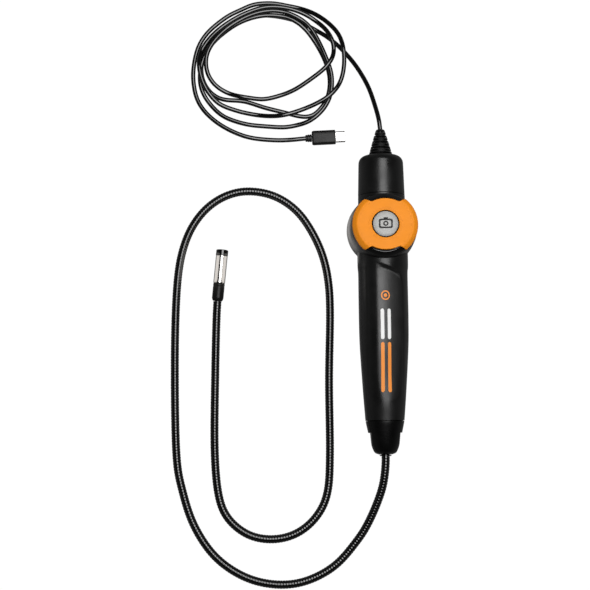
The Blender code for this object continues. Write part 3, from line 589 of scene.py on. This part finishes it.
def make_handle():
    at = metres(0, HUB, 0)
    half_space = (90, 260, 100)
    screw_well = [(0.0, 8.0), (2.3, 8.0), (2.3, -2.0), (0.0, -2.0)]
    screw_places = [(-6.5, -74.0), (6.5, -74.0), (-18.0, HUB), (18.0, HUB)]
    inner = handle_bar("inner_bar", None, WALL, 1.0, 40, 4.0)
    inner_hub = turned("inner_hub", hub_hollow(), at, UP, None, 48)
    well = turned("well", [(0.0, 42.0), (13.0, 42.0), (13.0, 33.0), (0.0, 33.0)], at, UP, None, 64)
    whole = handle_bar("front_housing", LOOKS["handle"], 0.0, 0.0, 176, 0.9)
    texture_grip(whole)
    hub = turned("hub", rounded(hub_outline(), 0.35), at, UP, LOOKS["handle"], 160)
    combine(whole, hub, "UNION")
    combine(whole, inner, "DIFFERENCE")
    combine(whole, inner_hub, "DIFFERENCE")
    rear = link("rear_housing", whole.data.copy())
    below = slab("below", half_space, moved(0, 0, FRONT_LOW - half_space[2] / 2), None)
    above = slab("above", half_space, moved(0, 0, REAR_HIGH + half_space[2] / 2), None)
    combine(whole, below, "DIFFERENCE")
    combine(whole, well, "DIFFERENCE")
    combine(rear, above, "DIFFERENCE")
    for x, y in screw_places:
        hole = turned("screw_well", screw_well, metres(x, y, 0), UP, None, 32)
        combine(rear, hole, "DIFFERENCE")
    flatten_below(rear)
    finish_piece(whole, "handle", "handle_black", "front_shell")
    finish_piece(rear, "handle", "handle_black", "rear_shell")


def printed_patch(name, across, along, look):
    """A thin print on the grip, through grids of offsets across and places along Y."""
    lift = 0.03
    angle = math.pi / 2 - across / half_width(along)
    obj = lofted(name, on_handle(angle, along, lift), look, closed_around=False, caps=False)
    return finish_piece(obj, "handle", "handle_black")


def printed_bar(name, centre, start, end, width, look):
    """A straight printed line with round ends, running along the handle."""
    steps, columns, least_half = 48, 5, 0.02
    y = start + (end - start) * (1 - np.cos(np.linspace(0, math.pi, steps))) / 2
    near = np.minimum(np.abs(y - start), np.abs(end - y))
    radius = width / 2
    half_squared = radius ** 2 - np.clip(radius - near, 0, None) ** 2
    half = np.sqrt(np.clip(half_squared, least_half ** 2, None))
    across = centre + half[:, None] * np.linspace(-1, 1, columns)[None]
    return printed_patch(name, across, np.repeat(y[:, None], columns, axis=1), look)


def printed_ring(name, y, outer, inner, look):
    """A printed ring, or with almost no inner radius a dot."""
    angles = np.linspace(0, 2 * math.pi, 49)
    radii = np.linspace(inner, outer, 4)
    across = radii[:, None] * np.cos(angles)[None]
    along = y + radii[:, None] * np.sin(angles)[None]
    return printed_patch(name, across, along, look)


def make_prints():
    """A plain lens mark and two pairs of lines, where a tool of this kind has its print."""
    white, orange = LOOKS["print_white"], LOOKS["print_orange"]
    mark_y, width = -3.0, 2.6
    printed_ring("lens_mark_ring", mark_y, 3.4, 2.5, orange)
    printed_ring("lens_mark_dot", mark_y, 1.3, 0.01, orange)
    for side in (-1, 1):
        printed_bar(f"white_line_{side + 1}", side * width, -12.5, -34.0, width, white)
        printed_bar(f"orange_line_{side + 1}", side * width, -36.0, -71.0, width, orange)


# ---------- nose, end cap and relief

def make_nose():
    outer = [(11.2, -84.0), (11.2, -90.7), (13.85, -90.7), (13.2, -94.0), (11.9, -100.0),
             (11.2, -103.2), (10.3, -106.7), (9.3, -109.8), (8.3, -112.1)]
    tip = [(7.4, -113.3), (5.8, -114.0), (4.4, -114.4)]
    inner = [(3.4, -114.4), (3.4, -112.0), (8.0, -104.0), (8.5, -84.0)]
    cone = turned("nose_housing", rounded(outer + tip + inner, 0.5), metres(0, 0, NOSE_AXIS),
                  ALONG, LOOKS["nose"], 128)
    for side in (-1, 1):
        spot = moved(side * 12.7, -109.1, NOSE_AXIS)
        spot = spot @ Matrix.Rotation(side * math.radians(-3.0), 4, "Z")
        combine(cone, slab("recess", (6, 20, 40), spot, None, 0.5), "DIFFERENCE")
    flatten_below(cone)
    finish_piece(cone, "handle", "satin_black", "nose_cone")


def make_gland_ring():
    ring = [(4.0, -114.65), (4.2, -114.9), (4.2, -115.3), (4.0, -115.5), (3.4, -115.5),
            (3.4, -114.65)]
    collar = turned("gland_collar", rounded(ring, 0.2), metres(0, 0, NOSE_AXIS), ALONG,
                    LOOKS["gloss"], 64)
    finish_piece(collar, "handle", "satin_black", "gland_ring")


def make_end_cap():
    end, shoulder_radius, shoulder_y, flange = 100.1, 5.4, 94.7, 10.7
    outer = [(9.0, end), (flange, end)]
    for angle in np.linspace(0.15, math.pi / 2, 10):
        outer.append((flange + shoulder_radius * math.sin(angle),
                      shoulder_y + shoulder_radius * math.cos(angle)))
    outer += [(16.2, 93.0), (16.6, 78.0), (16.8, CAP_SEAM + 0.35), (13.8, CAP_SEAM + 0.3),
              (13.8, 65.0)]
    inner = [(11.2, 65.0), (13.5, 76.0), (13.5, 93.0), (11.0, 97.4), (9.0, 97.4)]
    cap = turned("cable_cap", rounded(outer + inner, 0.35), metres(0, 0, CAP_AXIS), ALONG,
                 LOOKS["satin"], 128)
    flatten_below(cap)
    finish_piece(cap, "handle", "satin_black", "end_cap")


def make_strain_relief():
    """A cone cut by slots that lie across the front and across the sides in turn."""
    base, tip, foot = 100.4, 119.6, 97.0
    bore, tip_radius, flare, taper, foot_radius = 2.0, 3.0, 5.7, 0.92, 8.7
    pitch, first_slot, slot_depth, slot_middle, slot_half = 2.03, 0.45, 2.0, 0.76, 0.33
    bridge, bridge_fade = 0.95, 0.08
    edge, edge_length = 0.35, 0.5
    around = 96
    angles = np.arange(around) * 2 * math.pi / around

    def ring(radius, height):
        return np.column_stack([radius + 0 * angles, height + 0 * angles])

    rings = [ring(bore, tip - 6.0), ring(bore, tip)]
    for height in np.arange(tip, base, -0.11):
        down = tip - height
        slot, part = divmod((down - first_slot) / pitch, 1.0)
        cone = tip_radius + flare * (down / (tip - base)) ** taper
        groove = np.clip(1 - abs(part - slot_middle) / slot_half, 0, 1) ** 0.6
        uncut = np.abs(np.sin(angles)) if slot % 2 else np.abs(np.cos(angles))
        depth = slot_depth if down > first_slot else 0.0
        depth = depth * ease((bridge - uncut) / bridge_fade)
        softened = edge * max(0.0, 1 - down / edge_length)
        rings.append(ring(cone - depth * groove - softened, height))
    rings += [ring(foot_radius, base), ring(foot_radius, foot), ring(bore, foot)]
    radii, heights = np.moveaxis(np.array(rings), 2, 0)
    points = np.stack([radii * np.cos(angles), heights, CAP_AXIS + radii * np.sin(angles)],
                      axis=-1)
    relief = lofted("cable_boot", points, LOOKS["rubber"], 40.0, closed_along=True)
    finish_piece(relief, "handle", "satin_black", "strain_relief")


# ---------- dial and button

NOTCH_CURVE = smooth_curve([(angle, radius, 0.0) for angle, radius in NOTCH_EDGE], 8)


def rim_radius(angle):
    """The dial's outer radius at an angle, which is smaller across the two notches."""
    from_notch = np.abs(np.abs((angle + math.pi) % math.tau - math.pi) - math.pi / 2)
    return np.interp(np.degrees(from_notch), NOTCH_CURVE[:, 0], NOTCH_CURVE[:, 1])


def about_hub(radius, angles, height):
    """Points around the hub's axis."""
    return np.column_stack([radius * np.cos(angles), HUB + radius * np.sin(angles),
                            height + 0 * angles])


def make_dial():
    angles = np.arange(720) * 2 * math.pi / 720
    rim = rim_radius(angles)
    bore, under, skirt = BUTTON_RADIUS + 0.3, 42.2, 38.75

    def top(radius):
        return DIAL_TOP - np.clip(radius - FACE_RADIUS, 0, None)

    stations = [(bore, under), (bore, DIAL_TOP - 0.25), (bore + 0.08, DIAL_TOP - 0.07),
                (bore + 0.25, DIAL_TOP)]
    for radius in (12.0, 15.0, 17.0, 18.0, FACE_RADIUS - 0.35):
        limited = np.minimum(radius, rim - 0.45)
        stations.append((limited, top(limited)))
    for radius in (FACE_RADIUS - 0.12, FACE_RADIUS + 0.12, 21.2, 22.2):
        limited = np.minimum(radius, rim - 0.3)
        softened = np.where(np.abs(limited - FACE_RADIUS) < 0.2, 0.04, 0.0)
        stations.append((limited, top(limited) - softened))
    stations += [(rim - 0.22, top(rim - 0.22) - 0.02), (rim - 0.06, top(rim) - 0.12),
                 (rim, top(rim) - 0.32), (rim, skirt + 0.15), (rim - 0.15, skirt),
                 (rim - 1.6, skirt), (rim - 1.6, under)]
    rings = [about_hub(radius, angles, height) for radius, height in stations]
    cap = lofted("dial_ring", rings, LOOKS["orange"], 32.0, closed_along=True)
    finish_piece(cap, "dial", "dial_orange", "dial_cap")


def notch_lip(side):
    """The raised black lip that follows the edge of one notch."""
    foot, end_height, more_height = 39.4, 1.6, 2.3
    reach, taper = 0.97, 0.12
    share = np.linspace(-reach, reach, 121)
    angles = side * math.pi / 2 + share * NOTCH_HALF_ANGLE
    rim = np.minimum(rim_radius(angles), 22.0)
    height = end_height + more_height * ease((1 - np.abs(share)) / taper)
    # Distance out from the rim, and the share of the lip's height there
    section = [(0.3, 0.0), (0.3, 0.85), (0.4, 0.98), (0.6, 1.0), (0.8, 0.93), (0.95, 0.6),
               (1.0, 0.0)]
    rings = [about_hub(np.minimum(rim + out, 22.5), angles, foot + height * part)
             for out, part in section]
    return lofted(f"lip_{side + 1}", rings, LOOKS["gloss"], 60.0, closed_around=False, caps=False)


def make_dial_core():
    at = metres(0, HUB, 0)
    core = [(10.6, 41.9), (18.0, 41.9), (18.0, 41.0), (19.4, 41.0), (22.4, 39.0), (22.6, 38.3),
            (12.6, 38.3), (12.6, 31.0), (10.6, 31.0)]
    piece = turned("dial_base", rounded(core, 0.3), at, UP, LOOKS["gloss"], 128)
    join(piece, notch_lip(-1), notch_lip(1))
    finish_piece(piece, "dial", "gloss_black", "dial_core")


def make_button():
    body = [(0.0, 43.9), (9.05, 43.9), (BUTTON_RADIUS, 43.5), (BUTTON_RADIUS, 41.9), (10.3, 41.9),
            (10.3, 40.3), (2.6, 40.3), (2.6, 32.6), (0.0, 32.4)]
    button = turned("button_body", rounded(body, 0.25), metres(0, HUB, 0), UP, LOOKS["gloss"])
    finish_piece(button, "button", "gloss_black", "snapshot_button")


def make_badge():
    dome = [(0.0, 45.0), (2.5, 44.98), (4.6, 44.9), (6.4, 44.76), (7.7, 44.55), (8.5, 44.3),
            (8.8, 44.0), (8.85, 43.92), (0.0, 43.92)]
    badge = turned("badge_dome", rounded(dome, 0.4), metres(0, HUB, 0), UP, LOOKS["badge"],
                   sharp=60.0)
    finish_piece(badge, "button", "badge_silver", "button_badge")


def make_spring():
    """The button's return spring: a helix with flat end turns, between the ends of its part."""
    turns, radius, wire = 4, 5.8, 0.4
    flat_turn, flat_rise = 0.4, 0.3
    low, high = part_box("button_spring")
    bottom, top = low.z / MM + wire, high.z / MM - wire
    angle = np.linspace(0, turns * math.tau, turns * 48 + 1)
    height = np.interp(angle / math.tau, [0.0, flat_turn, turns - flat_turn, turns],
                       [bottom, bottom + flat_rise, top - flat_rise, top])
    path = about_hub(radius, angle, height) * MM
    spring = swept("return_spring", path, np.full(len(path), wire * MM), 10, LOOKS["plated"])
    finish_piece(spring, "handle", "plain_steel", "button_spring")
    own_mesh(spring)


def flat_band(outer, inner, height, name):
    """A thin plate between two closed outlines of equally many (x, y) points."""
    top = height + 0.12
    rings = []
    for loop, z in ((inner, height), (inner, top), (outer, top), (outer, height)):
        loop = np.asarray(loop, float)
        rings.append(np.column_stack([loop[:, 0], HUB + loop[:, 1], np.full(len(loop), z)]))
    return lofted(name, rings, LOOKS["icon"], 30.0, closed_along=True)


def soft_box(width, height, power, count=64):
    """A closed outline between a box and an ellipse."""
    angles = np.arange(count) * 2 * math.pi / count
    cos, sin = np.cos(angles), np.sin(angles)
    return np.column_stack([width / 2 * np.sign(cos) * np.abs(cos) ** (2 / power),
                            height / 2 * np.sign(sin) * np.abs(sin) ** (2 / power)])


def make_icon():
    """A plain snapshot pictogram: a camera body, its lens and its viewfinder hump."""
    case = flat_band(soft_box(9.8, 6.8, 7.0), soft_box(7.5, 4.5, 7.0), 44.9, "camera_icon")
    lens = flat_band(soft_box(3.7, 3.7, 2.0), soft_box(1.7, 1.7, 2.0), 44.94, "icon_lens")
    hump_outline = soft_box(3.0, 1.3, 5.0) + np.array([0.0, 3.7])
    hump = flat_band(hump_outline, hump_outline * 0.02 + np.array([0.0, 3.63]), 44.9, "icon_hump")
    join(case, lens, hump)
    finish_piece(case, "button", "gloss_black")


# ---------- gooseneck and head

def head_matrix(height):
    place = HEAD_BASE + HEAD_AIM * height * MM
    return Matrix.LocRotScale(place, UP.rotation_difference(HEAD_AIM), None)


def on_head(name, profile, look, slot, cad_node, segments=72, fillet=0.15):
    """A turned piece of the camera head, with heights from the head's base."""
    piece = turned(name, rounded(profile, fillet), HEAD_BASE, HEAD_AIM, LOOKS[look], segments)
    return finish_piece(piece, "handle", slot, cad_node)


def make_head():
    sleeve = [(2.2, 16.5), (2.2, 12.7), (4.0, 12.7), (4.15, 12.4), (4.15, 11.0), (4.02, 10.8),
              (4.02, 10.5), (4.15, 10.3), (4.15, 2.0), (3.7, 0.6), (3.2, 0.0), (1.5, 0.0),
              (1.5, 16.5)]
    barrel = [(4.25, 32.6), (4.25, 13.1), (4.05, 13.0), (3.4, 13.0), (3.4, 32.7), (4.05, 32.7)]
    bezel = [(3.0, 37.2), (4.0, 37.2), (4.35, 36.85), (4.35, 33.15), (4.2, 33.0), (3.4, 33.0),
             (3.4, 34.2), (3.0, 34.2)]
    window = [(0.0, 36.85), (2.6, 36.8), (2.6, 36.2), (0.0, 36.2)]
    holder = [(0.0, 35.3), (0.55, 35.4), (0.8, 35.65), (1.1, 35.7), (1.1, 33.2), (1.6, 33.0),
              (1.6, 30.8), (0.0, 30.8)]
    return [on_head("crimp_sleeve", sleeve, "plug", "gloss_black", "head_sleeve"),
            on_head("steel_barrel", barrel, "steel", "polished_steel", "camera_barrel"),
            on_head("head_bezel", bezel, "gloss", "gloss_black", "front_bezel"),
            on_head("head_window", window, "glass", "lens_glass", "lens_window", 48),
            on_head("lens_cell", holder, "lens", "gloss_black", "lens_holder", 48, 0.05),
            make_light_ring()]


def make_light_ring():
    lamp_count, lamp_circle, lamp_height = 6, 2.15, 35.05
    ring = turned("led_board", rounded([(2.6, 34.8), (2.6, 34.0), (1.7, 34.0), (1.7, 34.8)], 0.1),
                  HEAD_BASE, HEAD_AIM, LOOKS["cream"], 48)
    lamps = []
    for step in range(lamp_count):
        angle = math.tau / lamp_count * step
        spot = head_matrix(lamp_height) @ moved(lamp_circle * math.cos(angle),
                                                lamp_circle * math.sin(angle), 0)
        spot = spot @ Matrix.Rotation(angle, 4, "Z")
        lamps.append(slab("lamp", (0.75, 0.75, 0.5), spot, LOOKS["cream"], 0.06))
        lamps.append(slab("lamp_face", (0.5, 0.5, 0.1), spot @ moved(0, 0, 0.25), LOOKS["led"],
                          0.03))
    join(ring, *lamps)
    return finish_piece(ring, "handle", "socket_cream", "light_ring")


def make_gooseneck():
    """A ringed tube: each ring is a rounded ridge between two fine grooves."""
    per_ring, around = 5, 16
    path = even_points(smooth_curve(TUBE_ROUTE, 16), 0.002)
    path = even_points(blurred_path(path, 2.0), RING_PITCH * MM / per_ring)
    phase = np.arange(len(path)) % per_ring / per_ring
    radii = (TUBE_RADIUS - GROOVE + GROOVE * np.sqrt(np.sin(math.pi * phase))) * MM
    tube = swept("ringed_tube", path, radii, around, LOOKS["gooseneck"])
    finish_piece(tube, "handle", "gooseneck_black", "gooseneck")
    return tube, path


# ---------- cable and plug

def settled(path, radius, spacing):
    """The path with each stretch lifted onto the earlier stretches that it crosses.

    Each lift falls off along the cord, level at first and then at a steady slope.
    """
    slope, level, softness, passes = 0.16, 0.003, 0.0022, 12
    own = max(4, round(5 * radius / spacing))
    gaps = np.linalg.norm(path[:, None, :2] - path[None, :, :2], axis=2)
    order = np.arange(len(path))
    earlier = (order[:, None] - order[None]) > own
    touching = earlier & (gaps < 2 * radius)
    rise = np.sqrt(np.clip((2 * radius) ** 2 - gaps ** 2, 0, None))
    away = np.abs(order[:, None] - order[None]) * spacing
    fall = slope * np.clip(away - level, 0, None)
    base = path[:, 2].copy()
    heights = base.copy()
    for _ in range(passes):
        needed = np.where(touching, heights[None] + rise, -1.0).max(axis=1)
        needed = np.maximum(needed, base)
        heights = blurred((needed[None] - fall).max(axis=1), softness / spacing)
        heights = np.maximum(heights, base)
    lifted = path.copy()
    lifted[:, 2] = heights
    return lifted


def make_cable():
    radius, around = CABLE_RADIUS * MM, 24
    coarse, fine = 0.0025, 0.0018
    turns = [(x * MM, y * MM, radius) for turn in COIL_TURNS for x, y in turn]
    path = even_points(smooth_curve(LEAD_ROUTE + turns + TAIL_ROUTE, 10), coarse)
    path = settled(blurred_path(path, 1.6), radius, coarse)
    path = even_points(path, fine)
    cable = swept("usb_cable", path, np.full(len(path), radius), around, LOOKS["cable"])
    finish_piece(cable, "handle", "cable_black", "cable_lead", "cable_coil", "cable_tail")
    return cable, path


def plug_matrix(along):
    """A frame on the plug's axis: X along the plug, Z up."""
    side = UP.cross(PLUG_AIM)
    turn = Matrix((PLUG_AIM, side, UP)).transposed().to_4x4()
    return Matrix.Translation(PLUG_BASE + PLUG_AIM * along * MM) @ turn


def stadium(width, height):
    """A closed outline with two straight sides and round ends, in (y, z)."""
    radius, count = height / 2, 48
    angles = np.arange(count) * 2 * math.pi / count
    shift = np.where(np.cos(angles) > 0, 1, -1) * (width / 2 - radius)
    return np.column_stack([shift + radius * np.cos(angles), radius * np.sin(angles)])


def drawn_along(name, stations, look, sharp, **closing):
    """A piece through (place along the plug, outline) pairs."""
    rings = [np.column_stack([np.full(len(outline), along), outline])
             for along, outline in stations]
    obj = lofted(name, rings, look, sharp, **closing)
    obj.data.transform(plug_matrix(0.0))
    return obj


def make_plug_mould():
    width, height, squareness = 10.4, 6.0, 4.0
    stations = []
    for along, scale in ((4.3, 0.86), (4.5, 0.93), (5.0, 0.985), (5.6, 1.0), (20.7, 1.0),
                         (21.2, 0.985), (21.45, 0.95), (21.5, 0.9)):
        stations.append((along, soft_box(width * scale, height * scale, squareness, 72)))
    mould = drawn_along("plug_mould", stations, LOOKS["plug"], 50.0)
    return finish_piece(mould, "handle", "satin_black", "plug_body")


def make_plug_shell():
    width, height, double_wall, back, front = 8.25, 2.4, 0.7, 21.8, 28.45

    def outline(less):
        return stadium(width - less, height - less)

    stations = [(back, outline(double_wall)), (back, outline(0.0)), (front - 0.25, outline(0.0)),
                (front - 0.02, outline(0.12)), (front, outline(0.3)), (front, outline(0.6)),
                (front - 0.25, outline(double_wall))]
    shell = drawn_along("plug_metal", stations, LOOKS["steel"], 40.0, closed_along=True)
    return finish_piece(shell, "handle", "polished_steel", "plug_shell")


def make_plug_insert():
    contact_count, contact_pitch = 10, 0.56
    insert = slab("plug_insert", (5.6, 6.4, 0.6), plug_matrix(24.7), LOOKS["gloss"], 0.1)
    contacts = []
    for step in range(contact_count):
        across = (step - (contact_count - 1) / 2) * contact_pitch
        spot = plug_matrix(25.5) @ moved(0, across, 0.31)
        contacts.append(slab("contact", (3.6, 0.28, 0.06), spot, LOOKS["gold"]))
    join(insert, *contacts)
    return finish_piece(insert, "handle", "gloss_black", "plug_tongue")


def make_plug_boot():
    collar = [(0.8, 4.0), (2.6, 4.0), (2.85, 3.7), (2.85, 2.9), (2.45, 2.7), (2.45, 2.4),
              (2.8, 2.2), (2.75, 1.3), (2.35, 1.1), (2.35, 0.8), (2.6, 0.6), (2.4, -0.5),
              (0.8, -0.5)]
    boot = turned("plug_boot", rounded(collar, 0.12), PLUG_BASE, PLUG_AIM, LOOKS["rubber"], 48)
    return finish_piece(boot, "handle", "cable_black", "plug_collar")


# ---------- inside

INSIDE_LOOKS = {
    "brass": ["tube_ferrule", "ferrule_nut", "dial_wiper"],
    "seal": ["nose_seal", "end_cap_seal", "hub_seal", "head_seal", "hub_lead", "probe_lead",
             "head_lead"],
    "board": ["main_board", "hub_board", "sensor_board"],
    "satin": ["image_processor", "usb_controller", "inductor", "tact_switch"],
    "cream": ["probe_connector", "cable_connector"],
    "cable": ["inner_cable"],
    "plated": ["clock_crystal", "capacitor_1", "capacitor_2", "capacitor_3", "board_screw_1",
               "board_screw_2", "case_screw_1", "case_screw_2", "case_screw_3", "case_screw_4",
               "cable_clamp", "clamp_screw_1", "clamp_screw_2", "dial_retainer"],
}


def dress_inside():
    for look, names in INSIDE_LOOKS.items():
        for name in names:
            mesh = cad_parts[name].data
            mesh.materials.clear()
            mesh.materials.append(LOOKS[look])


# ---------- studio

CAMERA_DISTANCE = 1.0
CAMERA_PITCH = math.radians(6.5)
CAMERA_YAW = math.radians(2.0)
CAMERA_ROLL = math.radians(0.62)
VIEW_CENTRE = Vector((-0.06315, -0.0007, 0.018))
VIEW_WIDTH = 0.4206
SENSOR_MM = 36.0
TABLE_GLOW = 0.22
ROOM_GLOW = 0.04


def make_camera():
    toward = Vector((-math.tan(CAMERA_YAW), -math.tan(CAMERA_PITCH), 1.0)).normalized()
    up = (ALONG - toward * ALONG.dot(toward)).normalized()
    right = up.cross(toward)
    up, right = (up * math.cos(CAMERA_ROLL) + right * math.sin(CAMERA_ROLL),
                 right * math.cos(CAMERA_ROLL) - up * math.sin(CAMERA_ROLL))
    data = bpy.data.cameras.new("camera")
    data.sensor_width = SENSOR_MM
    data.lens = SENSOR_MM * CAMERA_DISTANCE / VIEW_WIDTH
    data.clip_end = 20.0
    camera = link("camera", data)
    turn = Matrix((right, up, toward)).transposed().to_4x4()
    camera.matrix_world = Matrix.Translation(VIEW_CENTRE + toward * CAMERA_DISTANCE) @ turn
    bpy.context.scene.camera = camera


def softbox(name, place, size, watts):
    """A rectangular light that shines straight down."""
    data = bpy.data.lights.new(name, "AREA")
    data.shape = "RECTANGLE"
    data.size, data.size_y = size
    data.energy = watts
    light = link(name, data)
    light.location = place
    return light


def make_floor():
    """A light table: evenly white, and too bright to hold a shadow."""
    look = new_look("light_table", (0.0, 0.0, 0.0), 1.0, emission=1.02)
    shader = look.node_tree.nodes["Principled BSDF"]
    shader.inputs["Emission Color"].default_value = (1.0, 1.0, 1.0, 1.0)
    shader.inputs["Specular IOR Level"].default_value = 0.0
    floor = slab("floor", (6000, 6000, 10), moved(0, 0, -5.0), look)
    floor.visible_diffuse = False
    floor.visible_glossy = False
    floor.visible_transmission = False


def reflector(name, size, matrix, glow):
    """A small glowing card that the camera doesn't see, but that shows in reflections."""
    look = new_look(name, (0.0, 0.0, 0.0), 1.0, emission=glow)
    shader = look.node_tree.nodes["Principled BSDF"]
    shader.inputs["Emission Color"].default_value = (1.0, 0.97, 0.94, 1.0)
    card = slab(name, (*size, 0.2), matrix, look)
    card.visible_camera = False
    card.visible_diffuse = False
    card.visible_shadow = False


def make_reflectors():
    """Cards standing beside the camera head's barrel, and one lying along the hub's left."""
    beside_barrel = HEAD_BASE + HEAD_AIM * 24.5 * MM
    turn = Matrix.Rotation(math.atan2(-HEAD_AIM.x, HEAD_AIM.y), 4, "Z")
    upright = Matrix.Rotation(math.radians(90), 4, "Y")
    for side in (-1, 1):
        spot = Matrix.Translation((beside_barrel.x, beside_barrel.y, 0.0)) @ turn
        spot = spot @ moved(side * 15.0, 0.0, 12.5) @ upright
        reflector(f"head_card_{side + 1}", (23.0, 23.0), spot, 1.1)
    reflector("hub_card", (9.0, 42.0), moved(-29.5, HUB, 0.3), 0.85)


def make_world():
    """Dim above the horizon, and below it the glow of the light table."""
    world = bpy.data.worlds.new("studio")
    world.use_nodes = True
    tree = world.node_tree
    place = tree.nodes.new("ShaderNodeTexCoord")
    split = tree.nodes.new("ShaderNodeSeparateXYZ")
    tree.links.new(place.outputs["Generated"], split.inputs["Vector"])
    height = remap(tree, split.outputs["Z"], TABLE_GLOW, ROOM_GLOW, -0.1, 0.55)
    path = tree.nodes.new("ShaderNodeLightPath")
    seen = tree.nodes.new("ShaderNodeMix")
    tree.links.new(path.outputs["Is Camera Ray"], seen.inputs["Factor"])
    tree.links.new(height, seen.inputs["A"])
    seen.inputs["B"].default_value = 1.0
    tree.links.new(seen.outputs["Result"], tree.nodes["Background"].inputs["Strength"])
    tree.nodes["Background"].inputs["Color"].default_value = (1.0, 1.0, 1.0, 1.0)
    bpy.context.scene.world = world


def make_studio():
    """The light table, and two lights, of which the fill shows in no reflection."""
    make_floor()
    make_world()
    bpy.context.scene.view_settings.view_transform = "Standard"
    softbox("overhead", (0.09, 0.14, 0.92), (0.56, 0.76), 8.0)
    fill = softbox("fill", (0.09, 0.23, 0.92), (0.56, 1.06), 2.8)
    fill.visible_glossy = False
    make_reflectors()


# ---------- assembly

LOOKS = make_looks()
dress_inside()
make_camera()
make_studio()
make_handle()
make_prints()
make_nose()
make_gland_ring()
make_end_cap()
make_strain_relief()
make_dial()
make_dial_core()
make_button()
make_badge()
make_icon()
make_spring()
head_pieces = make_head()
gooseneck, tube_path = make_gooseneck()
cable, cable_path = make_cable()
plug_pieces = [make_plug_mould(), make_plug_shell(), make_plug_insert(), make_plug_boot()]
